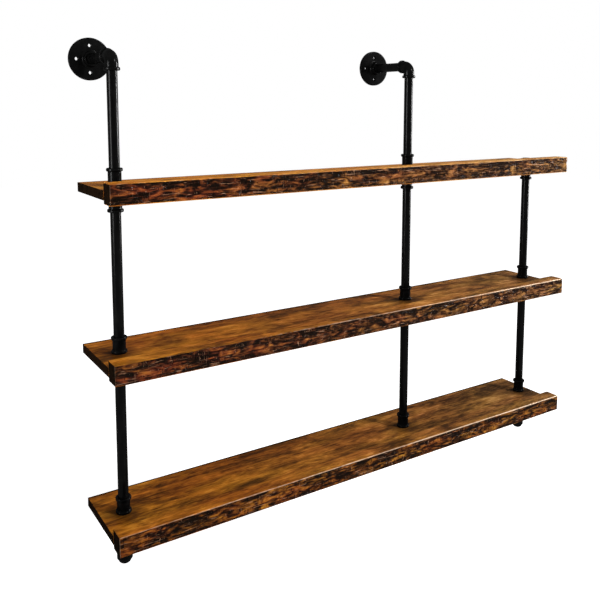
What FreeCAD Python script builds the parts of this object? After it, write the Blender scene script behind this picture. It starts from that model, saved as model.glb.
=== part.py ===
import FreeCAD, Part
import math
import os

# A rack of three wooden shelves on three uprights of iron pipe, fixed to a wall above
# and standing on two short legs below.
# Millimetres. The origin is the centre of the left wall flange's back face:
# +X runs along the shelves to the right, +Y into the wall and +Z up.

# Steel pipe of half-inch nominal size
pipe_diameter = 21.3
pipe_wall = 2.8
pipe_end_chamfer = 0.8
arm_length = 120.0
riser_length = 215.0
upright_length = 278.0

# Banded malleable-iron fittings that screw on to the pipe
thread_depth = 13.5
thread_clearance = 0.1
waterway_diameter = 17.5
mouth_chamfer = 0.8
band_diameter = 32.0
band_width = 6.5
band_round = 2.0
neck_round = 0.7
body_diameter = 26.4
coupling_length = 34.0
elbow_reach = 28.4
elbow_bend_radius = 16.0
cap_height = 22.0
cap_band_width = 13.0
cap_crown_round = 8.0

# Round flange, on the wall and on the legs
flange_diameter = 88.0
flange_height = 22.0
flange_rim_thickness = 6.5
flange_plate_rise = 2.5
flange_rim_round = 2.0
flange_hub_diameter = 31.0
flange_hub_round = 1.8
flange_root_round = 4.0
flange_hole_diameter = 6.8
flange_hole_circle = 56.0
flange_hole_count = 4
flange_countersink = 1.0

# Thin hexagonal locknut
locknut_across_flats = 30.0
locknut_thickness = 6.0
locknut_corner_drop = 1.2
locknut_thread_proud = 1.5

# Shelves: a board with a deeper strip doweled along its front edge
board_thickness = 19.0
board_width = 168.0
board_edge_round = 1.5
board_hole_clearance = 0.6
upright_to_board_back = 95.0
strip_depth = 38.0
strip_height = 41.0
strip_lip = 15.0
strip_front_round = 3.0
strip_back_round = 1.0
left_overhang = 46.0
left_span = 748.0
right_span = 441.0
right_overhang = 35.0
dowel_diameter = 8.0
dowel_length = 40.0
dowel_chamfer = 1.0
dowel_clearance = 0.1
dowel_end_gap = 1.0
dowel_count = 6

# Legs under the ends of the bottom board, from its underside to the foot of the cap
leg_height = 90.0

# How far a cutting tool runs past the surface it opens
overrun = 5.0
# Points of an outline nearer than this are one point
same_point = 0.0001

V = FreeCAD.Vector
RIGHT = V(1, 0, 0)
BACK = V(0, 1, 0)
UP = V(0, 0, 1)
DOWN = V(0, 0, -1)
FRONT = V(0, -1, 0)

pipe_radius = pipe_diameter / 2
bore_radius = pipe_radius + thread_clearance
waterway_radius = waterway_diameter / 2
band_radius = band_diameter / 2
body_radius = body_diameter / 2
elbow_sleeve = elbow_reach - elbow_bend_radius

# The arm reaches from the wall to the upright's axis
arm_show = arm_length - 2 * thread_depth
upright_y = -(flange_height + arm_show + elbow_reach)

board_back_y = upright_y + upright_to_board_back
board_front_y = board_back_y - board_width
strip_front_y = board_front_y - strip_depth
shelf_left_x = -left_overhang
shelf_length = left_overhang + left_span + right_span + right_overhang
upright_x = {"left": 0, "centre": left_span, "right": left_span + right_span}

riser_show = riser_length - 2 * thread_depth
upright_show = upright_length - 2 * thread_depth
leg_show = leg_height - cap_height
shelf_pitch = board_thickness + 2 * coupling_length + upright_show
top_board_z = -(elbow_reach + riser_show + coupling_length)
board_top_z = {
    "top": top_board_z,
    "middle": top_board_z - shelf_pitch,
    "bottom": top_board_z - 2 * shelf_pitch,
}

nodes = {}


def rounded_outline(corners, point):
    """Closed wire through (u, v, round) corners, with a tangent arc at each round."""
    points = [point(u, v) for u, v, radius in corners]
    edges = []
    arcs = []
    for i, (u, v, radius) in enumerate(corners):
        here = points[i]
        to_last = (points[i - 1] - here).normalize()
        to_next = (points[(i + 1) % len(points)] - here).normalize()
        half_angle = to_last.getAngle(to_next) / 2
        setback = radius / math.tan(half_angle)
        inward = (to_last + to_next).normalize()
        middle = here + inward * (radius / math.sin(half_angle) - radius)
        arcs.append((here + to_last * setback, middle, here + to_next * setback))
    for i, (start, middle, end) in enumerate(arcs):
        last_end = arcs[i - 1][2]
        if not last_end.isEqual(start, same_point):
            edges.append(Part.LineSegment(last_end, start).toShape())
        if not start.isEqual(end, same_point):
            edges.append(Part.Arc(start, middle, end).toShape())
    return Part.Wire(edges)


def revolved(corners):
    """Solid of revolution about Z from (radius, height, round) corners."""
    outline = rounded_outline(corners, lambda radius, height: V(radius, 0, height))
    return Part.Face(outline).revolve(V(), UP, 360)


def along_shelf(corners):
    """Solid of the shelf's length from its (y, z, round) end view."""
    outline = rounded_outline(corners, lambda y, z: V(shelf_left_x, y, z))
    return Part.Face(outline).extrude(RIGHT * shelf_length)


def placed(shape, at, axis=UP):
    """Copy of an upright shape, turned to an axis and moved."""
    copy = shape.copy()
    copy.Placement = FreeCAD.Placement(at, FreeCAD.Rotation(UP, axis))
    return copy


def pipe(length):
    """Pipe that stands on the origin, with both ends chamfered."""
    bore = pipe_radius - pipe_wall
    tip = pipe_radius - pipe_end_chamfer
    return revolved([
        (bore, 0, 0),
        (tip, 0, 0),
        (pipe_radius, pipe_end_chamfer, 0),
        (pipe_radius, length - pipe_end_chamfer, 0),
        (tip, length, 0),
        (bore, length, 0),
    ])


def socket_tool():
    """Cutter for a pipe's seat: a bore with a chamfered mouth at the origin."""
    return revolved([
        (0, 0, 0),
        (bore_radius + mouth_chamfer, 0, 0),
        (bore_radius, mouth_chamfer, 0),
        (bore_radius, thread_depth, 0),
        (0, thread_depth, 0),
    ])


def coupling():
    """Straight coupling that stands on the origin: two bands, a neck and a land between the sockets."""
    far_band = coupling_length - band_width
    outside = revolved([
        (0, 0, 0),
        (band_radius, 0, band_round),
        (band_radius, band_width, band_round),
        (body_radius, band_width, neck_round),
        (body_radius, far_band, neck_round),
        (band_radius, far_band, band_round),
        (band_radius, coupling_length, band_round),
        (0, coupling_length, 0),
    ])
    waterway = Part.makeCylinder(waterway_radius, coupling_length)
    sockets = [socket_tool(), placed(socket_tool(), UP * coupling_length, DOWN)]
    return outside.cut([waterway] + sockets)


def bend(radius):
    """Quarter of a ring on the elbow's centre line, from its lower leg round to its back leg."""
    start = DOWN * elbow_bend_radius
    disc = Part.Face(Part.Wire(Part.makeCircle(radius, start, UP)))
    return disc.revolve(start + BACK * elbow_bend_radius, -RIGHT, 90)


def elbow():
    """Elbow centred on the origin, with one banded leg down and one back towards the wall."""
    sleeve = revolved([
        (0, 0, 0),
        (band_radius, 0, band_round),
        (band_radius, band_width, band_round),
        (body_radius, band_width, neck_round),
        (body_radius, elbow_sleeve, 0),
        (0, elbow_sleeve, 0),
    ])
    straight = Part.makeCylinder(waterway_radius, elbow_sleeve)
    lower_mouth = DOWN * elbow_reach
    back_mouth = BACK * elbow_reach
    outside = bend(body_radius).fuse([
        placed(sleeve, lower_mouth),
        placed(sleeve, back_mouth, FRONT),
    ])
    inside = bend(waterway_radius).fuse([
        placed(straight, lower_mouth),
        placed(straight, back_mouth, FRONT),
        placed(socket_tool(), lower_mouth),
        placed(socket_tool(), back_mouth, FRONT),
    ])
    return outside.cut(inside).removeSplitter()


def cap():
    """Cap that opens at the origin and closes with a rounded crown above it."""
    outside = revolved([
        (0, 0, 0),
        (band_radius, 0, band_round),
        (band_radius, cap_band_width, band_round),
        (body_radius, cap_band_width, neck_round),
        (body_radius, cap_height, cap_crown_round),
        (0, cap_height, 0),
    ])
    return outside.cut(socket_tool())


def flange(opening_radius):
    """Flange with its back on the origin: a drilled plate, open at the middle, that rises to a threaded hub."""
    flange_radius = flange_diameter / 2
    hub_radius = flange_hub_diameter / 2
    hole_radius = flange_hole_diameter / 2
    plate_top = flange_rim_thickness + flange_plate_rise
    outside = revolved([
        (0, 0, 0),
        (flange_radius, 0, 0),
        (flange_radius, flange_rim_thickness, flange_rim_round),
        (hub_radius, plate_top, flange_root_round),
        (hub_radius, flange_height, flange_hub_round),
        (0, flange_height, 0),
    ])
    tools = [
        placed(socket_tool(), UP * flange_height, DOWN),
        Part.makeCylinder(opening_radius, flange_height),
    ]
    # Each screw hole is eased where it meets the sloping plate
    to_hole = flange_hole_circle / 2
    slope_share = (flange_radius - to_hole) / (flange_radius - hub_radius)
    hole_top = flange_rim_thickness + flange_plate_rise * slope_share
    hole = revolved([
        (0, -overrun, 0),
        (hole_radius, -overrun, 0),
        (hole_radius, hole_top - flange_countersink, 0),
        (hole_radius + flange_countersink, hole_top, 0),
        (hole_radius + flange_countersink, hole_top + overrun, 0),
        (0, hole_top + overrun, 0),
    ])
    for i in range(flange_hole_count):
        turn = 2 * math.pi * i / flange_hole_count
        tools.append(placed(hole, V(math.cos(turn), math.sin(turn), 0) * to_hole))
    return outside.cut(tools)


def locknut():
    """Hexagonal nut that stands on the origin, with its corners turned down."""
    flat_radius = locknut_across_flats / 2
    corner_radius = flat_radius / math.cos(math.pi / 6)
    corners = [V(math.cos(math.pi * i / 3), math.sin(math.pi * i / 3), 0) * corner_radius for i in range(7)]
    hexagon = Part.Face(Part.makePolygon(corners)).extrude(UP * locknut_thickness)
    turned = revolved([
        (0, 0, 0),
        (corner_radius, 0, 0),
        (corner_radius, locknut_thickness - locknut_corner_drop, 0),
        (flat_radius, locknut_thickness, 0),
        (0, locknut_thickness, 0),
    ])
    return hexagon.common(turned).cut(Part.makeCylinder(bore_radius, locknut_thickness))


def dowel_places(board_top):
    """Centres of a shelf's dowels, evenly spaced along the joint of board and strip."""
    step = shelf_length / dowel_count
    z = board_top - board_thickness / 2
    return [V(shelf_left_x + step * (i + 0.5), board_front_y, z) for i in range(dowel_count)]


def dowel_holes(board_top):
    """Cutters for the blind holes that a shelf's dowels fill."""
    length = dowel_length + 2 * dowel_end_gap
    hole = Part.makeCylinder(dowel_diameter / 2 + dowel_clearance, length)
    return [placed(hole, at + FRONT * (length / 2), BACK) for at in dowel_places(board_top)]


def dowels(board_top):
    """A shelf's dowels, half in the board and half in the strip."""
    radius = dowel_diameter / 2
    tip = radius - dowel_chamfer
    dowel = revolved([
        (0, 0, 0),
        (tip, 0, 0),
        (radius, dowel_chamfer, 0),
        (radius, dowel_length - dowel_chamfer, 0),
        (tip, dowel_length, 0),
        (0, dowel_length, 0),
    ])
    start = FRONT * (dowel_length / 2)
    return Part.makeCompound([placed(dowel, at + start, BACK) for at in dowel_places(board_top)])


def board(board_top):
    """Shelf board with a hole for each upright and its back edges eased."""
    board_bottom = board_top - board_thickness
    plank = along_shelf([
        (board_front_y, board_bottom, 0),
        (board_back_y, board_bottom, board_edge_round),
        (board_back_y, board_top, board_edge_round),
        (board_front_y, board_top, 0),
    ])
    hole = Part.makeCylinder(pipe_radius + board_hole_clearance, board_thickness + 2 * overrun)
    holes = [placed(hole, V(x, upright_y, board_bottom - overrun)) for x in upright_x.values()]
    return plank.cut(holes + dowel_holes(board_top))


def front_strip(board_top):
    """Strip along a board's front edge, standing above it as a lip."""
    strip_top = board_top + strip_lip
    strip_bottom = strip_top - strip_height
    strip = along_shelf([
        (strip_front_y, strip_bottom, strip_front_round),
        (board_front_y, strip_bottom, strip_back_round),
        (board_front_y, strip_top, strip_back_round),
        (strip_front_y, strip_top, strip_front_round),
    ])
    return strip.cut(dowel_holes(board_top))


def add_shelf(shelf, board_top):
    nodes[shelf + "_board"] = board(board_top)
    nodes[shelf + "_front_strip"] = front_strip(board_top)
    nodes[shelf + "_strip_dowels"] = dowels(board_top)


def add_clamped_joint(upright, shelf):
    """The nipple through a board and the fittings that clamp the board from above and below.

    At the ends of the bottom board the nipple runs on down as a leg, through a flange and into a cap.
    """
    over = V(upright_x[upright], upright_y, board_top_z[shelf])
    under = over + DOWN * board_thickness
    has_locknut = (upright, shelf) == ("right", "top")
    has_cap = (upright, shelf) == ("centre", "bottom")
    has_leg = shelf == "bottom" and not has_cap
    if has_locknut:
        nodes["right_locknut"] = placed(locknut(), over)
        nipple_rise = locknut_thickness + locknut_thread_proud
    else:
        nodes[upright + "_coupling_over_" + shelf] = placed(coupling(), over)
        nipple_rise = thread_depth
    nipple_drop = thread_depth
    if has_cap:
        nodes["centre_end_cap"] = placed(cap(), under, DOWN)
    elif has_leg:
        nodes[upright + "_leg_flange"] = placed(flange(bore_radius), under, DOWN)
        nodes[upright + "_leg_cap"] = placed(cap(), under + DOWN * leg_show, DOWN)
        nipple_drop = leg_show + thread_depth
    else:
        nodes[upright + "_coupling_under_" + shelf] = placed(coupling(), under, DOWN)
    nipple = pipe(nipple_rise + board_thickness + nipple_drop)
    nodes[upright + "_nipple_in_" + shelf] = placed(nipple, under + DOWN * nipple_drop)


def add_uprights(upright):
    """The two pipes of an upright that space the shelves apart."""
    pairs = [("top", "upper"), ("middle", "lower")]
    for shelf, pipe_name in pairs:
        end = board_top_z[shelf] - board_thickness - coupling_length - upright_show - thread_depth
        at = V(upright_x[upright], upright_y, end)
        nodes[upright + "_" + pipe_name + "_pipe"] = placed(pipe(upright_length), at)


def add_wall_arm(upright):
    """The riser above the top shelf, turned back to a flange on the wall."""
    centre = V(upright_x[upright], upright_y, 0)
    at_wall = V(upright_x[upright], 0, 0)
    riser_end = centre + DOWN * (elbow_reach + riser_show + thread_depth)
    arm_end = centre + BACK * (elbow_reach - thread_depth)
    nodes[upright + "_riser"] = placed(pipe(riser_length), riser_end)
    nodes[upright + "_top_elbow"] = placed(elbow(), centre)
    nodes[upright + "_top_arm"] = placed(pipe(arm_length), arm_end, BACK)
    nodes[upright + "_wall_flange"] = placed(flange(waterway_radius), at_wall, FRONT)


for shelf, board_top in board_top_z.items():
    add_shelf(shelf, board_top)
for upright in upright_x:
    for shelf in board_top_z:
        add_clamped_joint(upright, shelf)
    add_uprights(upright)
add_wall_arm("left")
add_wall_arm("centre")

os.makedirs("parts", exist_ok=True)
for name, shape in nodes.items():
    shape.exportStep("parts/" + name + ".step")
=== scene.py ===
import math

import bpy
import numpy as np
from mathutils import Matrix, Vector


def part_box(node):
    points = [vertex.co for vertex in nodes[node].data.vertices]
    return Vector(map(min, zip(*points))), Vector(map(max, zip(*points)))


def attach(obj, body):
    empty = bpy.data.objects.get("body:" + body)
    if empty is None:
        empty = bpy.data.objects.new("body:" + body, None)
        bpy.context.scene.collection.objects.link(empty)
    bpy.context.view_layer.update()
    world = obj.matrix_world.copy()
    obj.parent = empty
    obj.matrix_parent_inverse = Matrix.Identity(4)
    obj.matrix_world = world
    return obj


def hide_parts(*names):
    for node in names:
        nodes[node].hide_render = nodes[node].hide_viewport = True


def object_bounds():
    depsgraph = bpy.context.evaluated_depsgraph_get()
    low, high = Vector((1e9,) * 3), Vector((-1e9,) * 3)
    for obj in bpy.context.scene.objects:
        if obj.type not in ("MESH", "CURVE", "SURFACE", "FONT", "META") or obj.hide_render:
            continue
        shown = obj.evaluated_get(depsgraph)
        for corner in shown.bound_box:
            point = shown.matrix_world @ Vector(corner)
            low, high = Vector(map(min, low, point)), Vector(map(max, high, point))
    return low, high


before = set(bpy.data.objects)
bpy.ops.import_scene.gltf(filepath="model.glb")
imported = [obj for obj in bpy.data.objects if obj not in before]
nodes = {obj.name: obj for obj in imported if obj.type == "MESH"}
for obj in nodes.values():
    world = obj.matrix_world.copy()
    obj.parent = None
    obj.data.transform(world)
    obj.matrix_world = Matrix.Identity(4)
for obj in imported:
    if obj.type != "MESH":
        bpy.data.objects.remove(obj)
cad_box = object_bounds()

# Lengths of black steel pipe: arms, risers, uprights, nipples and legs.
# Drawn half-inch tube with a thin black lacquer over mill scale, screwed into
# the fittings at both ends.
MM = 0.001
pipe_nodes = [name for name in nodes if name.endswith(("_pipe", "_riser", "_arm"))]
pipe_nodes += [name for name in nodes if "_nipple_in_" in name]
# Satin lacquer, whose thin coat alone gives the gloss
LACQUER = {"Roughness": 0.5, "Specular IOR Level": 0.0, "Coat Weight": 0.05, "Coat Roughness": 0.22}


def linear(hex_colour):
    """sRGB hex text to a linear RGBA colour."""
    text = hex_colour.lstrip("#")
    srgb = [int(text[i:i + 2], 16) / 255 for i in (0, 2, 4)]
    return [c / 12.92 if c <= 0.04045 else ((c + 0.055) / 1.055) ** 2.4 for c in srgb] + [1.0]


def put(tree, kind, inputs=None, stops=None, **settings):
    """Adds a shader node. An input is a value, or a node or socket to link. Stops fill a colour ramp."""
    node = tree.nodes.new("ShaderNode" + kind)
    for name, value in settings.items():
        setattr(node, name, value)
    for key, value in (inputs or {}).items():
        if isinstance(value, bpy.types.Node):
            value = next(output for output in value.outputs if output.enabled)
        if isinstance(value, bpy.types.NodeSocket):
            tree.links.new(value, node.inputs[key])
        else:
            node.inputs[key].default_value = value
    if stops:
        ramp = node.color_ramp
        while len(ramp.elements) < len(stops):
            ramp.elements.new(1.0)
        for element, (place, colour) in zip(ramp.elements, stops):
            element.position = place
            element.color = linear(colour)
    return node


def new_material(name):
    """An empty node material and its tree."""
    material = bpy.data.materials.new(name)
    material.use_nodes = True
    material.node_tree.nodes.clear()
    return material, material.node_tree


def per_mm(*sizes):
    """Mapping scale at which a pattern of unit size has these sizes in millimetres."""
    return [1 / (size * MM) for size in sizes]


def dress(names, material):
    """Gives the CAD nodes of these names a finish."""
    for name in names:
        nodes[name].data.materials.clear()
        nodes[name].data.materials.append(material)


def black_lacquered_pipe():
    """Black lacquer on drawn steel: near black and satin, its faint mottle drawn out along the uprights."""
    material, tree = new_material("black_lacquered_pipe")
    place = put(tree, "TexCoord").outputs["Object"]
    mottle_place = put(tree, "Mapping", {"Vector": place, "Scale": per_mm(9, 9, 30)})
    mottle = put(tree, "TexNoise", {"Vector": mottle_place, "Scale": 1.0, "Detail": 5.0})
    colour = put(tree, "ValToRGB", {"Fac": mottle},
                 stops=[(0.3, "#020202"), (0.55, "#050505"), (0.75, "#0a0a09")])
    # The grit in the lacquer is finer than this, and drawn coarser so that it shows
    grit = put(tree, "TexNoise", {"Vector": place, "Scale": per_mm(1.4)[0], "Detail": 3.0})
    bump = put(tree, "Bump", {"Height": grit, "Strength": 0.06, "Distance": 0.3 * MM})
    shader = put(tree, "BsdfPrincipled", {"Base Color": colour, "Normal": bump, "Coat Normal": bump,
                                          **LACQUER})
    put(tree, "OutputMaterial", {"Surface": shader})
    return material


dress(pipe_nodes, black_lacquered_pipe())

# Malleable-iron fittings: flanges, elbows, couplings, caps and the locknut.
# Sand-cast iron with rolled bands at the mouths, black lacquered, screwed hard
# on to the pipe so that a board is clamped between two of them.
coupling_nodes = [name for name in nodes if "_coupling_" in name]
fitting_nodes = [name for name in nodes if name.endswith(("_flange", "_elbow", "_cap", "_locknut"))]
fitting_nodes += coupling_nodes


def black_malleable_iron():
    """Black lacquer on sand-cast iron: near black and satin, with a pebbled skin and a faint mottle."""
    material, tree = new_material("black_malleable_iron")
    place = put(tree, "TexCoord").outputs["Object"]
    # The pebbles of the cast skin are finer than this, and drawn coarser so that they show
    skin = put(tree, "TexNoise", {"Vector": place, "Scale": per_mm(2.2)[0], "Detail": 4.0, "Roughness": 0.6})
    mottle = put(tree, "TexNoise", {"Vector": place, "Scale": per_mm(14)[0], "Detail": 3.0})
    colour = put(tree, "ValToRGB", {"Fac": mottle},
                 stops=[(0.3, "#020202"), (0.55, "#050505"), (0.78, "#0b0a0a")])
    bump = put(tree, "Bump", {"Height": skin, "Strength": 0.2, "Distance": 0.4 * MM})
    shader = put(tree, "BsdfPrincipled", {"Base Color": colour, "Normal": bump, "Coat Normal": bump,
                                          **LACQUER})
    put(tree, "OutputMaterial", {"Surface": shader})
    return material


dress(fitting_nodes, black_malleable_iron())

# Shelf boards: planed pine, stained a warm orange brown and varnished to a gloss.
# Each board is drilled for the nipples and clamped between fittings.
board_nodes = [name for name in nodes if name.endswith("_board")]
coupling_boxes = [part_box(name) for name in coupling_nodes]
# Axes of the uprights in plan, to a tenth of a millimetre
upright_axes = sorted({(round((low.x + high.x) / 2, 4), round((low.y + high.y) / 2, 4))
                       for low, high in coupling_boxes})
# Shares of the long grain, the soft blotches and the short flecks in the tone of the stain
GRAIN_SHARE = 0.44
BLOTCH_SHARE = 0.58
FLECK_SHARE = 0.36
# Painted light by height: the top board is painted brighter than the boards below it, where more light from
# above falls. Two levels between it and the middle board, and what is added to the tone below the lower one
# and above the upper one
PAINTED_LIGHT_FROM_Z = -560 * MM
PAINTED_LIGHT_TO_Z = -300 * MM
PAINTED_SHADE_TONE = -0.116
PAINTED_LIGHT_TONE = 0.025
# Colours of the stain by tone at the left end and at the right, where a painted sheen greys it, and where one
# turns into the other
ORANGE_STAIN = [(0.45, "#3a200a"), (0.53, "#613510"), (0.59, "#7d4613"), (0.66, "#985619"), (0.75, "#b9742b")]
SHEEN_GREYED_STAIN = [(0.45, "#2c1e12"), (0.53, "#4b341f"), (0.59, "#644528"), (0.66, "#7c5836"), (0.75, "#9a774f")]
SHEEN_GREY_FROM_X = 200 * MM
SHEEN_GREY_TO_X = 1220 * MM
SHEEN_GREY_SHARE = 0.8
MARK_DARK = "#201006"
# Band along the back edge painted dark as shade
SHADE_LINE_FROM = -57 * MM
SHADE_LINE_TO = -51 * MM
SHADE_LINE_SHARE = 0.9
# Distance from an upright's axis over which the painted shade and reflection round the fittings' feet thin
# out
FOOT_SHADE_FROM = 15 * MM
FOOT_SHADE_TO = 60 * MM
FOOT_SHADE_SHARE = 0.62
FOOT_SHADE_DARK = "#1a0d05"
# Varnish, whose coat alone gives the gloss, and its weight on planed faces and on the matt sawn ends
VARNISH = {"Roughness": 0.5, "Specular IOR Level": 0.0, "Coat IOR": 1.45}
BOARD_GLOSS = 0.03
BOARD_END_GLOSS = 0.004
# Stain that has soaked into sawn ends, whose colours also paint the shade line along the back edge
END_STAIN_AND_SHADE_DARK = "#060402"
END_STAIN_AND_SHADE_LIGHT = "#120a05"


def pine_figure(tree, place):
    """Colour and relief of stained pine.

    Long grain, soft blotches and short flecks add up to a tone, with painted light raising it on the top
    board. It runs through an orange-brown ramp at the left end and one greyed by a painted sheen at the
    right, and dark marks and small knots lie over it. The locations only shift a pattern, so that no two of
    them coincide.
    """
    grain_place = put(tree, "Mapping", {"Vector": place, "Scale": per_mm(240, 26, 26)})
    grain = put(tree, "TexNoise", {"Vector": grain_place, "Scale": 1.0, "Detail": 6.0, "Roughness": 0.62,
                                   "Distortion": 0.8})
    blotch_place = put(tree, "Mapping", {"Vector": place, "Scale": per_mm(100, 52, 52),
                                         "Location": (5.2, 3.6, 1.4)})
    blotch = put(tree, "TexNoise", {"Vector": blotch_place, "Scale": 1.0, "Detail": 6.0, "Roughness": 0.62,
                                    "Distortion": 0.6})
    fleck_place = put(tree, "Mapping", {"Vector": place, "Scale": per_mm(30, 4.5, 4.5)})
    flecks = put(tree, "TexNoise", {"Vector": fleck_place, "Scale": 1.0, "Detail": 4.0, "Distortion": 0.9})
    tone = put(tree, "Math", {0: grain, 1: GRAIN_SHARE}, operation="MULTIPLY")
    tone = put(tree, "Math", {0: blotch, 1: BLOTCH_SHARE, 2: tone}, operation="MULTIPLY_ADD")
    tone = put(tree, "Math", {0: flecks, 1: FLECK_SHARE, 2: tone}, operation="MULTIPLY_ADD")
    spot = put(tree, "SeparateXYZ", {0: place}).outputs
    # Painted light and shade: the tone is raised on the top board and lowered below it
    painted_light_by_height = put(tree, "MapRange", {"Value": spot["Z"], "From Min": PAINTED_LIGHT_FROM_Z, "From Max": PAINTED_LIGHT_TO_Z,
                                     "To Min": PAINTED_SHADE_TONE, "To Max": PAINTED_LIGHT_TONE})
    tone = put(tree, "Math", {0: painted_light_by_height, 1: tone}, operation="ADD")
    orange = put(tree, "ValToRGB", {"Fac": tone}, stops=ORANGE_STAIN)
    sheen_greyed = put(tree, "ValToRGB", {"Fac": tone}, stops=SHEEN_GREYED_STAIN)
    # Painted sheen greys the stain towards the right end
    sheen_fade = put(tree, "MapRange", {"Value": spot["X"], "From Min": SHEEN_GREY_FROM_X, "From Max": SHEEN_GREY_TO_X,
                                  "To Min": 0.0, "To Max": SHEEN_GREY_SHARE})
    sheen_graded = put(tree, "Mix", {"Factor": sheen_fade, "A": orange, "B": sheen_greyed}, data_type="RGBA")
    # The stain turns from red to olive over a hand's breadth; a hue of 0.5 is unturned
    hue_place = put(tree, "Mapping", {"Vector": place, "Scale": per_mm(170, 60, 60),
                                      "Location": (4.4, 2.6, 8.1)})
    hue = put(tree, "TexNoise", {"Vector": hue_place, "Scale": 1.0, "Detail": 3.0})
    turn = put(tree, "MapRange", {"Value": hue, "From Min": 0.35, "From Max": 0.65,
                                  "To Min": 0.4985, "To Max": 0.5115})
    turned = put(tree, "HueSaturation", {"Hue": turn, "Color": sheen_graded})
    # Short dark drying marks and small knots
    mark_place = put(tree, "Mapping", {"Vector": place, "Scale": per_mm(55, 7, 7)})
    marks = put(tree, "TexNoise", {"Vector": mark_place, "Scale": 1.0, "Detail": 3.0, "Distortion": 0.6})
    mark_mask = put(tree, "MapRange", {"Value": marks, "From Min": 0.63, "From Max": 0.7,
                                       "To Min": 0.0, "To Max": 0.5})
    knot_place = put(tree, "Mapping", {"Vector": place, "Scale": per_mm(150, 75, 75)})
    knots = put(tree, "TexVoronoi", {"Vector": knot_place, "Scale": 1.0, "Randomness": 1.0},
                voronoi_dimensions="3D", feature="F1")
    knot_mask = put(tree, "MapRange", {"Value": knots, "From Min": 0.03, "From Max": 0.13,
                                       "To Min": 0.85, "To Max": 0.0}, interpolation_type="SMOOTHSTEP")
    dark_mask = put(tree, "Math", {0: mark_mask, 1: knot_mask}, operation="MAXIMUM")
    figure = put(tree, "Mix", {"Factor": dark_mask, "A": turned, "B": linear(MARK_DARK)}, data_type="RGBA")
    relief = put(tree, "Math", {0: flecks, 1: grain}, operation="ADD")
    return figure, relief


def varnished_pine():
    """Stained pine under gloss varnish: orange brown and streaked, with a painted shade line along the back
    edge, painted shade and reflection round the fittings and dark sawn ends."""
    material, tree = new_material("varnished_pine")
    place = put(tree, "TexCoord").outputs["Object"]
    figure, relief = pine_figure(tree, place)
    # Painted shade and dark reflection of the fittings, darkest round their feet
    spot = put(tree, "SeparateXYZ", {0: place}).outputs
    plan = put(tree, "CombineXYZ", {"X": spot["X"], "Y": spot["Y"]})
    distances = [put(tree, "VectorMath", {0: plan, 1: (x, y, 0.0)}, operation="DISTANCE")
                 for x, y in upright_axes]
    nearest = distances[0]
    for distance in distances[1:]:
        nearest = put(tree, "Math", {0: nearest, 1: distance}, operation="MINIMUM")
    foot_shade = put(tree, "MapRange", {"Value": nearest, "From Min": FOOT_SHADE_FROM, "From Max": FOOT_SHADE_TO,
                                 "To Min": FOOT_SHADE_SHARE, "To Max": 0.0}, interpolation_type="SMOOTHSTEP")
    foot_shaded = put(tree, "Mix", {"Factor": foot_shade, "A": figure, "B": linear(FOOT_SHADE_DARK)}, data_type="RGBA")
    # Painted shade darkens a line along the back edge, and stain soaks into the sawn ends
    back = put(tree, "MapRange", {"Value": spot["Y"], "From Min": SHADE_LINE_FROM, "From Max": SHADE_LINE_TO,
                                  "To Min": 0.0, "To Max": SHADE_LINE_SHARE})
    facing = put(tree, "SeparateXYZ", {0: put(tree, "TexCoord").outputs["Normal"]}).outputs
    end = put(tree, "Math", {0: facing["X"]}, operation="ABSOLUTE")
    end_mask = put(tree, "MapRange", {"Value": end, "From Min": 0.6, "From Max": 0.9})
    gloss = put(tree, "MapRange", {"Value": end_mask, "To Min": BOARD_GLOSS, "To Max": BOARD_END_GLOSS})
    # Mask of the painted shade line along the back edge and of the soaked sawn ends
    stained = put(tree, "Math", {0: back, 1: end_mask}, operation="MAXIMUM")
    soaked = put(tree, "ValToRGB", {"Fac": relief}, stops=[(0.8, END_STAIN_AND_SHADE_DARK), (1.0, END_STAIN_AND_SHADE_LIGHT)])
    dressed = put(tree, "Mix", {"Factor": stained, "A": foot_shaded, "B": soaked}, data_type="RGBA")
    bump = put(tree, "Bump", {"Height": relief, "Strength": 0.15, "Distance": 0.5 * MM})
    shader = put(tree, "BsdfPrincipled", {"Base Color": dressed, "Normal": bump, "Coat Weight": gloss,
                                          "Coat Roughness": 0.1, **VARNISH})
    put(tree, "OutputMaterial", {"Surface": shader})
    return material


dress(board_nodes, varnished_pine())

# Front strips: square timber dressed with an edge tool, scorched and varnished.
# One is doweled along the front of each board and stands above it as a lip.
# The tool marks are in the mesh: long shallow cuts, short chops and small nicks.
STRIP_ROUND = 2.0 * MM
RING_STEP = 1.9 * MM
END_BEVEL = 0.9 * MM
# Points up the front, over the top, down the back and underneath, and round a corner with both its ends
SIDE_POINTS = (38, 22, 14, 16)
CORNER_POINTS = 6
# A power under one makes a scoop flat in the middle and steep at its rim
SCOOP_POWER = 0.7
# Depth at which a cut is charred right through, and the charring along the foot of the front
CHAR_DEPTH = 1.0 * MM
FOOT_CHAR = 0.5
FOOT_CHAR_AT = 1 * MM
FOOT_CHAR_WIDTH = 3 * MM
# Half width of the pale arris, worn by rubbing and painted as a highlight, at the left end and at the right,
# and how far it comes and goes
HIGHLIGHT_RUB_WIDTH = (0.7 * MM, 1.3 * MM)
HIGHLIGHT_RUB_WANDER = 0.3
HIGHLIGHT_RUB_WAVES = 7
HIGHLIGHT_RUB_LONGEST = 300 * MM
HIGHLIGHT_RUB_SHORTEST = 12 * MM
# Run over which the hewn front gives way to the planed top
HEWN_FADE = 1 * MM
# Seed of the tool marks, how far the front arris is painted pale, as wear and a highlight, at the left end
# and at the right, and how far the upright corner at the left end is
strips = {"top_front_strip": (11, (0.0, 0.1), 0.1), "middle_front_strip": (23, (-0.25, 0.8), 0.06),
          "bottom_front_strip": (37, (0.2, 0.9), 0.3)}


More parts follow.
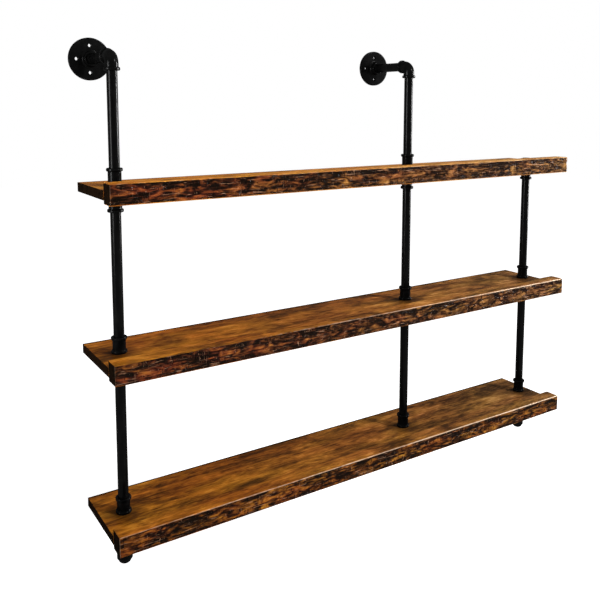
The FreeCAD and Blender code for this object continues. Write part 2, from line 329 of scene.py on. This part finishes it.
def strip_outline(depth, height):
    """Points and outward normals round the strip's end view, with the distance run from the front's foot.

    Four straight runs joined by quarter circles: up the front, back over the top, down the back and
    forward underneath.
    """
    r = STRIP_ROUND
    spans = [height - 2 * r, depth - 2 * r, height - 2 * r, depth - 2 * r]
    starts = [(0, r), (r, height), (depth, height - r), (depth - r, 0)]
    ways = [(0, 1), (1, 0), (0, -1), (-1, 0)]
    points, normals = [], []
    for span, count, start, way in zip(spans, SIDE_POINTS, starts, ways):
        run = np.linspace(0, span, count)[:, None]
        out = np.array((-way[1], way[0]), float)
        points.append(np.array(start) + run * np.array(way))
        normals.append(np.repeat(out[None], count, 0))
        turn = np.linspace(0, math.pi / 2, CORNER_POINTS)[1:-1, None]
        centre = np.array(start) + span * np.array(way) - r * out
        ray = np.cos(turn) * out + np.sin(turn) * np.array(way)
        points.append(centre + r * ray)
        normals.append(ray)
    points, normals = np.concatenate(points), np.concatenate(normals)
    step = np.linalg.norm(np.diff(points, axis=0, append=points[:1]), axis=1)
    run = np.concatenate([[0], np.cumsum(step)[:-1]])
    return points, normals, run


def scoops(x, s, places, sizes, depths):
    """Depth of elliptical scoops at (x, s), the deepest where they overlap.

    Each is its depth times a power of one minus the squared distance from its middle, in half lengths and
    half widths, and nothing past its rim.
    """
    cut = np.zeros((len(x), len(s)))
    for (px, ps), (rx, rs), depth in zip(places, sizes, depths):
        near = np.abs(x - px) < rx
        u = ((x[near] - px) / rx)[:, None]
        v = ((s - ps) / rs)[None]
        cut[near] = np.maximum(cut[near], depth * np.clip(1 - u ** 2 - v ** 2, 0, 1) ** SCOOP_POWER)
    return cut


def wander(x, random, waves, longest, shortest):
    """Wander along the strip: the mean of sines of random phase, from the longest wave to the shortest."""
    lengths = np.geomspace(longest, shortest, waves)
    phases = random.uniform(0, 2 * math.pi, waves)
    return sum(np.sin(2 * math.pi * x / length + phase) for length, phase in zip(lengths, phases)) / waves


def hewn_strip(node, seed, highlight_rub, corner_highlight_rub):
    """The strip's outline carried along X, each point pushed in along its normal by the tool marks.

    The first and last rings are drawn in a little, which bevels the ends. Four attributes go with the points:
    how charred they are, how pale from wear and a painted highlight, how hewn, and how far up the front.
    """
    low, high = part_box(node)
    length, depth, height = high - low
    random = np.random.RandomState(seed)
    points, normals, run = strip_outline(depth, height)
    middle = np.linspace(END_BEVEL, length - END_BEVEL, int(length / RING_STEP))
    x = np.concatenate([[0], middle, [length]])
    columns, rows = len(x), len(run)
    corner_run = STRIP_ROUND * math.pi / 2
    front_end = height - 2 * STRIP_ROUND
    arris = front_end + corner_run / 2
    top_end = front_end + corner_run + depth - 2 * STRIP_ROUND

    # How many of each kind of mark, where round the outline, and half length, half width and depth in mm
    marks = {
        "long cut": (120, (0, front_end), (14, 60), (1.5, 5), (0.3, 1.1)),
        "chop": (110, (0, front_end), (2, 5), (2, 7), (0.3, 1.1)),
        "top mark": (26, (arris, top_end), (8, 30), (1.2, 3), (0.2, 0.6)),
        "arris nick": (26, (arris - 1 * MM, arris + 1 * MM), (2, 9), (1.6, 3.2), (0.3, 1.1)),
        "foot nick": (26, (0, 2 * MM), (3, 14), (2, 4), (0.3, 1.2)),
    }
    cuts = {}
    for mark, (count, where, half_lengths, half_widths, depths) in marks.items():
        places = np.column_stack([random.uniform(0, length, count), random.uniform(*where, count)])
        sizes = np.column_stack([random.uniform(*half_lengths, count),
                                 random.uniform(*half_widths, count)]) * MM
        cuts[mark] = scoops(x, run, places, sizes, random.uniform(*depths, count) * MM)
    cut = np.maximum.reduce(list(cuts.values()))
    cut[[0, -1]] += END_BEVEL

    grid = np.empty((columns, rows, 3))
    grid[..., 0] = low.x + x[:, None]
    grid[..., 1] = low.y + points[None, :, 0] - cut * normals[None, :, 0]
    grid[..., 2] = low.z + points[None, :, 1] - cut * normals[None, :, 1]

    corner = np.arange(columns * rows).reshape(columns, rows)
    beside = np.roll(corner, -1, axis=1)
    quads = np.stack([corner[:-1], corner[1:], beside[1:], beside[:-1]], axis=-1).reshape(-1, 4)
    caps = [corner[0].tolist(), corner[-1][::-1].tolist()]
    mesh = bpy.data.meshes.new(node + "_hewn")
    mesh.from_pydata(grid.reshape(-1, 3), [], quads.tolist() + caps)
    smooth = np.ones(len(mesh.polygons), bool)
    smooth[-2:] = False
    mesh.polygons.foreach_set("use_smooth", smooth)

    # The nicks in the arris stay uncharred
    deepest = np.maximum.reduce([cuts[mark] for mark in cuts if mark != "arris nick"])
    foot = FOOT_CHAR * np.exp(-((run - FOOT_CHAR_AT) / FOOT_CHAR_WIDTH) ** 2)[None]
    char = np.clip(np.clip(deepest / CHAR_DEPTH, 0, 1) + foot, 0, 1)
    # The pale arris is wear with a painted highlight, wider and stronger towards the right end
    highlight_rub_width = HIGHLIGHT_RUB_WIDTH[0] + (HIGHLIGHT_RUB_WIDTH[1] - HIGHLIGHT_RUB_WIDTH[0]) * x / length
    highlight_rub_share = highlight_rub[0] + (highlight_rub[1] - highlight_rub[0]) * x / length
    highlight_rub_share += HIGHLIGHT_RUB_WANDER * wander(x, random, HIGHLIGHT_RUB_WAVES, HIGHLIGHT_RUB_LONGEST, HIGHLIGHT_RUB_SHORTEST)
    edge = np.exp(-((run - arris)[None] / highlight_rub_width[:, None]) ** 2)
    highlight_rubbed = edge * np.clip(highlight_rub_share, 0, 1)[:, None]
    # The upright corner at the left end gets the same painted highlight and wear
    highlight_rubbed[0] = corner_highlight_rub * (run < front_end)
    everywhere = np.ones((columns, 1))
    hewn = np.clip((arris - run) / HEWN_FADE, 0, 1) * everywhere
    upper = np.clip(run / front_end, 0, 1) * everywhere
    for name, values in (("char", char), ("highlight_rub", highlight_rubbed), ("hewn", hewn), ("upper", upper)):
        layer = mesh.attributes.new(name, "FLOAT", "POINT")
        layer.data.foreach_set("value", values.astype(np.float32).ravel())
    piece = bpy.data.objects.new(node + "_hewn", mesh)
    bpy.context.scene.collection.objects.link(piece)
    return piece


# Shares of the scorched patches, the grain and the flecks in the tone of the front, and what charring
# takes off it
PATCH_SHARE = 0.68
HEWN_GRAIN_SHARE = 0.2
HEWN_FLECK_SHARE = 0.24
CHAR_SHARE = -0.05
# What is taken off the tone low on the front, and more of it under the arris
LOW_TONE = -0.034
UNDER_ARRIS_TONE = -0.066
# Colours of the front by tone: red brown at the left end, tan at the right where a painted sheen and painted
# light from the right lie on it, and golden on the lowest strip
DARK_STAIN = [(0.44, "#0c0603"), (0.5, "#241109"), (0.55, "#432110"), (0.6, "#5f3115"), (0.66, "#7d471d"),
              (0.75, "#9c6630")]
SHEEN_TAN_STAIN = [(0.44, "#110906"), (0.5, "#2e1c0e"), (0.55, "#4b321a"), (0.6, "#694827"), (0.66, "#886238"),
             (0.74, "#aa8454")]
GOLD_STAIN = [(0.44, "#0e0703"), (0.5, "#2f1808"), (0.55, "#563010"), (0.6, "#784616"), (0.66, "#97601f"),
              (0.75, "#b98238")]
SHEEN_TAN_FROM_X = 150 * MM
SHEEN_TAN_TO_X = 1150 * MM
# Two levels between the middle strip and the lowest
GOLD_FROM = -760 * MM
GOLD_TO = -800 * MM
GOLD_SHARE = 0.75
CRACK_DARK = "#0a0503"
SCRATCH_PALE = "#a87e62"
BARE_WOOD_AND_HIGHLIGHT = "#e0c4a8"
# Weight of the varnish on the sides and on the sawn ends
STRIP_GLOSS = 0.04
STRIP_END_GLOSS = 0.005


def scorched_hewn_timber():
    """Dressed timber, scorched and varnished: brown patches with near-black ones under the arris, open
    cracks, tool ticks and fine pale scratches, red brown at the left and tan at the right from a painted
    sheen and painted light, with a pale arris worn by rubbing and painted as a highlight, and the board's
    figure on top."""
    material, tree = new_material("scorched_hewn_timber")
    place = put(tree, "TexCoord").outputs["Object"]
    char = put(tree, "Attribute", attribute_name="char").outputs["Fac"]
    highlight_rub = put(tree, "Attribute", attribute_name="highlight_rub").outputs["Fac"]
    hewn = put(tree, "Attribute", attribute_name="hewn").outputs["Fac"]
    upper = put(tree, "Attribute", attribute_name="upper").outputs["Fac"]
    figure, _ = pine_figure(tree, place)
    # Scorched patches a few centimetres long, with ragged edges
    patch_place = put(tree, "Mapping", {"Vector": place, "Scale": per_mm(38, 13, 13)})
    patch = put(tree, "TexNoise", {"Vector": patch_place, "Scale": 1.0, "Detail": 5.0, "Roughness": 0.52,
                                   "Distortion": 1.2})
    fleck_place = put(tree, "Mapping", {"Vector": place, "Scale": per_mm(18, 5, 5)})
    flecks = put(tree, "TexNoise", {"Vector": fleck_place, "Scale": 1.0, "Detail": 4.0, "Roughness": 0.6})
    grain_place = put(tree, "Mapping", {"Vector": place, "Scale": per_mm(90, 5, 5)})
    grain = put(tree, "TexNoise", {"Vector": grain_place, "Scale": 1.0, "Detail": 5.0, "Distortion": 0.8})
    tone = put(tree, "Math", {0: patch, 1: PATCH_SHARE}, operation="MULTIPLY")
    tone = put(tree, "Math", {0: grain, 1: HEWN_GRAIN_SHARE, 2: tone}, operation="MULTIPLY_ADD")
    tone = put(tree, "Math", {0: flecks, 1: HEWN_FLECK_SHARE, 2: tone}, operation="MULTIPLY_ADD")
    tone = put(tree, "Math", {0: char, 1: CHAR_SHARE, 2: tone}, operation="MULTIPLY_ADD")
    under_arris = put(tree, "MapRange", {"Value": upper, "From Min": 0.5, "From Max": 0.85,
                                         "To Min": LOW_TONE, "To Max": UNDER_ARRIS_TONE},
                      interpolation_type="SMOOTHSTEP")
    tone = put(tree, "Math", {0: under_arris, 1: tone}, operation="ADD")
    dark_stain = put(tree, "ValToRGB", {"Fac": tone}, stops=DARK_STAIN)
    sheen_tan_stain = put(tree, "ValToRGB", {"Fac": tone}, stops=SHEEN_TAN_STAIN)
    gold_stain = put(tree, "ValToRGB", {"Fac": tone}, stops=GOLD_STAIN)
    spot = put(tree, "SeparateXYZ", {0: place}).outputs
    # Painted sheen and light from the right turn the front tan towards the right end
    sheen_paler = put(tree, "MapRange", {"Value": spot["X"], "From Min": SHEEN_TAN_FROM_X, "From Max": SHEEN_TAN_TO_X})
    sheen_graded = put(tree, "Mix", {"Factor": sheen_paler, "A": dark_stain, "B": sheen_tan_stain}, data_type="RGBA")
    lowest = put(tree, "MapRange", {"Value": spot["Z"], "From Min": GOLD_FROM, "From Max": GOLD_TO,
                                    "To Min": 0.0, "To Max": GOLD_SHARE})
    stained = put(tree, "Mix", {"Factor": lowest, "A": sheen_graded, "B": gold_stain}, data_type="RGBA")
    # Red and olive places, as on the boards but smaller
    hue_place = put(tree, "Mapping", {"Vector": place, "Scale": per_mm(70, 24, 24),
                                      "Location": (6.3, 1.2, 3.7)})
    hue = put(tree, "TexNoise", {"Vector": hue_place, "Scale": 1.0, "Detail": 3.0})
    turn = put(tree, "MapRange", {"Value": hue, "From Min": 0.35, "From Max": 0.65,
                                  "To Min": 0.49, "To Max": 0.508})
    scorched = put(tree, "HueSaturation", {"Hue": turn, "Color": stained})
    # Open cracks along the grain and ticks of the tool across it
    crack_place = put(tree, "Mapping", {"Vector": place, "Scale": per_mm(60, 3.2, 3.2)})
    cracks = put(tree, "TexNoise", {"Vector": crack_place, "Scale": 1.0, "Detail": 2.0, "Distortion": 0.4})
    tick_place = put(tree, "Mapping", {"Vector": place, "Scale": per_mm(5, 26, 26),
                                       "Location": (3.1, 7.7, 1.9)})
    ticks = put(tree, "TexNoise", {"Vector": tick_place, "Scale": 1.0, "Detail": 1.0})
    crack_mask = put(tree, "MapRange", {"Value": cracks, "From Min": 0.62, "From Max": 0.65})
    tick_mask = put(tree, "MapRange", {"Value": ticks, "From Min": 0.66, "From Max": 0.69})
    open_mask = put(tree, "Math", {0: crack_mask, 1: tick_mask}, operation="MAXIMUM")
    open_share = put(tree, "Math", {0: open_mask, 1: 0.85}, operation="MULTIPLY")
    cracked = put(tree, "Mix", {"Factor": open_share, "A": scorched, "B": linear(CRACK_DARK)},
                  data_type="RGBA")
    # Fine scratches along the grain and fewer scrapes across it, drawn wider than they are so that they show
    scratch_place = put(tree, "Mapping", {"Vector": place, "Scale": per_mm(34, 2.4, 2.4),
                                          "Location": (9.2, 4.3, 6.1)})
    scratches = put(tree, "TexNoise", {"Vector": scratch_place, "Scale": 1.0, "Detail": 2.0,
                                       "Distortion": 0.6})
    scrape_place = put(tree, "Mapping", {"Vector": place, "Scale": per_mm(3, 13, 13),
                                         "Location": (1.7, 5.2, 8.8)})
    scrapes = put(tree, "TexNoise", {"Vector": scrape_place, "Scale": 1.0, "Detail": 2.0, "Distortion": 1.0})
    fewer = put(tree, "Math", {0: scrapes, 1: 0.03}, operation="SUBTRACT")
    bare = put(tree, "Math", {0: scratches, 1: fewer}, operation="MAXIMUM")
    bare_mask = put(tree, "MapRange", {"Value": bare, "From Min": 0.64, "From Max": 0.72,
                                       "To Min": 0.0, "To Max": 0.45})
    scraped = put(tree, "Mix", {"Factor": bare_mask, "A": cracked, "B": linear(SCRATCH_PALE)},
                  data_type="RGBA")
    # The planed sides show the board's figure, the arris bare wood worn by rubbing with a painted highlight,
    # and the sawn ends soaked-in stain
    sides = put(tree, "Mix", {"Factor": hewn, "A": figure, "B": scraped}, data_type="RGBA")
    highlight_edged = put(tree, "Mix", {"Factor": highlight_rub, "A": sides, "B": linear(BARE_WOOD_AND_HIGHLIGHT)}, data_type="RGBA")
    facing = put(tree, "SeparateXYZ", {0: put(tree, "TexCoord").outputs["Normal"]}).outputs
    end = put(tree, "Math", {0: facing["X"]}, operation="ABSOLUTE")
    end_mask = put(tree, "MapRange", {"Value": end, "From Min": 0.85, "From Max": 0.97})
    gloss = put(tree, "MapRange", {"Value": end_mask, "To Min": STRIP_GLOSS, "To Max": STRIP_END_GLOSS})
    soaked = put(tree, "ValToRGB", {"Fac": flecks}, stops=[(0.35, END_STAIN_AND_SHADE_DARK), (0.65, END_STAIN_AND_SHADE_LIGHT)])
    dressed = put(tree, "Mix", {"Factor": end_mask, "A": highlight_edged, "B": soaked}, data_type="RGBA")
    hollow = put(tree, "Math", {0: open_mask, 1: -0.6, 2: flecks}, operation="MULTIPLY_ADD")
    bump = put(tree, "Bump", {"Height": hollow, "Strength": 0.6, "Distance": 1.2 * MM})
    shader = put(tree, "BsdfPrincipled", {"Base Color": dressed, "Normal": bump, "Coat Weight": gloss,
                                          "Coat Roughness": 0.2, "Coat Normal": bump, **VARNISH})
    put(tree, "OutputMaterial", {"Surface": shader})
    return material


strip_finish = scorched_hewn_timber()
for node, (seed, highlight_rub, corner_highlight_rub) in strips.items():
    strip = hewn_strip(node, seed, highlight_rub, corner_highlight_rub)
    strip.data.materials.append(strip_finish)
    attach(strip, "root")
    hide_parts(node)

# Dowels: plain turned beech pins, glued half into each board and half into its
# strip, and hidden in the joint.
dowel_nodes = [name for name in nodes if name.endswith("_dowels")]


def turned_beech():
    """Bare turned beech: pale pinkish brown with short darker flecks along the grain."""
    material, tree = new_material("turned_beech")
    place = put(tree, "TexCoord").outputs["Object"]
    fleck_place = put(tree, "Mapping", {"Vector": place, "Scale": per_mm(1.2, 6, 1.2)})
    flecks = put(tree, "TexNoise", {"Vector": fleck_place, "Scale": 1.0, "Detail": 3.0})
    colour = put(tree, "ValToRGB", {"Fac": flecks}, stops=[(0.35, "#b98d5f"), (0.65, "#d3ad80")])
    shader = put(tree, "BsdfPrincipled", {"Base Color": colour, "Roughness": 0.7})
    put(tree, "OutputMaterial", {"Surface": shader})
    return material


dress(dowel_nodes, turned_beech())

# The studio: a pale floor well below the rack, a white surround, a broad lamp above,
# a smaller one at the front right, and a gridded strip lamp at each side of the risers.
FLOOR_DROP = 0.55
FLOOR_HALF = 12.0
WHITE = linear("#ffffff")
# Strength of the surround as a light, where it isn't looked at or mirrored
WORLD_FILL = 0.08
floor_z = cad_box[0].z - FLOOR_DROP
floor_corners = [(-FLOOR_HALF, -FLOOR_HALF, floor_z), (FLOOR_HALF, -FLOOR_HALF, floor_z),
                 (FLOOR_HALF, FLOOR_HALF, floor_z), (-FLOOR_HALF, FLOOR_HALF, floor_z)]
floor_mesh = bpy.data.meshes.new("floor")
floor_mesh.from_pydata(floor_corners, [], [(0, 1, 2, 3)])
floor = bpy.data.objects.new("floor", floor_mesh)
bpy.context.scene.collection.objects.link(floor)


def white_seen(tree):
    """One where a camera, glossy or transmitted ray looks, so that what shows is white at strength 1."""
    path = put(tree, "LightPath").outputs
    seen = put(tree, "Math", {0: path["Is Camera Ray"], 1: path["Is Glossy Ray"]}, operation="MAXIMUM")
    return put(tree, "Math", {0: seen, 1: path["Is Transmission Ray"]}, operation="MAXIMUM")


def pale_floor():
    """Matt white floor, lifted to white where it is looked at and keeping a soft shadow."""
    material, tree = new_material("pale_floor")
    paint = put(tree, "BsdfDiffuse", {"Color": linear("#e8e8e6")})
    lift = put(tree, "Emission", {"Color": WHITE, "Strength": white_seen(tree)})
    both = put(tree, "AddShader", {0: paint, 1: lift})
    put(tree, "OutputMaterial", {"Surface": both})
    return material


floor_mesh.materials.append(pale_floor())

world = bpy.data.worlds.new("white_surround")
world.use_nodes = True
surround = world.node_tree
surround.nodes.clear()
strength = put(surround, "Mix", {"Factor": white_seen(surround), "A": WORLD_FILL, "B": 1.0},
               data_type="FLOAT")
backdrop = put(surround, "Background", {"Color": WHITE, "Strength": strength})
put(surround, "OutputWorld", {"Surface": backdrop})
bpy.context.scene.world = world


def soft_lamp(name, target, offset, width, height, watts, spread=180):
    """A rectangular area lamp, offset from its target and turned to it. A grid narrows its spread."""
    lamp = bpy.data.lights.new(name, "AREA")
    lamp.shape = "RECTANGLE"
    lamp.size = width
    lamp.size_y = height
    lamp.energy = watts
    lamp.spread = math.radians(spread)
    place = target + Vector(offset)
    lamp_object = bpy.data.objects.new(name, lamp)
    lamp_object.location = place
    lamp_object.rotation_euler = (target - place).to_track_quat("-Z", "Y").to_euler()
    bpy.context.scene.collection.objects.link(lamp_object)


# The side lamps are turned to the middle of the two risers
RISERS_LEFT_OF_CENTRE = 0.25
RISERS_BEHIND_FRONT = 0.11
RISERS_BELOW_TOP = 0.15
rack_centre = (cad_box[0] + cad_box[1]) / 2
riser_middle = Vector((rack_centre.x - RISERS_LEFT_OF_CENTRE, cad_box[0].y + RISERS_BEHIND_FRONT,
                       cad_box[1].z - RISERS_BELOW_TOP))
soft_lamp("overhead", rack_centre, (0.0, -0.5, 1.05), width=2.4, height=0.7, watts=3)
soft_lamp("front_right", rack_centre, (2.4, -3.44, 2.6), width=0.4, height=0.4, watts=265)
soft_lamp("right_side", riser_middle, (3.2, -0.6, 0.0), width=0.4, height=1.4, watts=36, spread=40)
soft_lamp("left_side", riser_middle, (-2.6, -0.5, 0.0), width=0.6, height=1.4, watts=10, spread=40)

# The camera stands in front of the rack and left of it, a little below the wall
# flanges, and looks along the shelves to the right and slightly down.
CAMERA_PLACE = Vector((-0.4610, -1.5406, -0.0909))
CAMERA_YAW = math.radians(32.839)
CAMERA_PITCH = math.radians(-6.354)
CAMERA_ROLL = math.radians(0.078)
FOCAL_PIXELS = 732.55
CENTRE_PIXEL = (304.2, 185.0)
IMAGE_PIXELS = 600
SENSOR_WIDTH = 36.0
camera = bpy.data.cameras.new("camera")
camera.sensor_width = SENSOR_WIDTH
camera.lens = FOCAL_PIXELS / IMAGE_PIXELS * SENSOR_WIDTH
camera.shift_x = 0.5 - CENTRE_PIXEL[0] / IMAGE_PIXELS
camera.shift_y = CENTRE_PIXEL[1] / IMAGE_PIXELS - 0.5
camera.clip_end = 5 * FLOOR_HALF
camera_object = bpy.data.objects.new("camera", camera)
camera_turn = (Matrix.Rotation(-CAMERA_YAW, 4, "Z") @ Matrix.Rotation(math.pi / 2 + CAMERA_PITCH, 4, "X")
               @ Matrix.Rotation(CAMERA_ROLL, 4, "Z"))
camera_object.matrix_world = Matrix.Translation(CAMERA_PLACE) @ camera_turn
bpy.context.scene.collection.objects.link(camera_object)
bpy.context.scene.camera = camera_object
bpy.context.scene.view_settings.view_transform = "Standard"
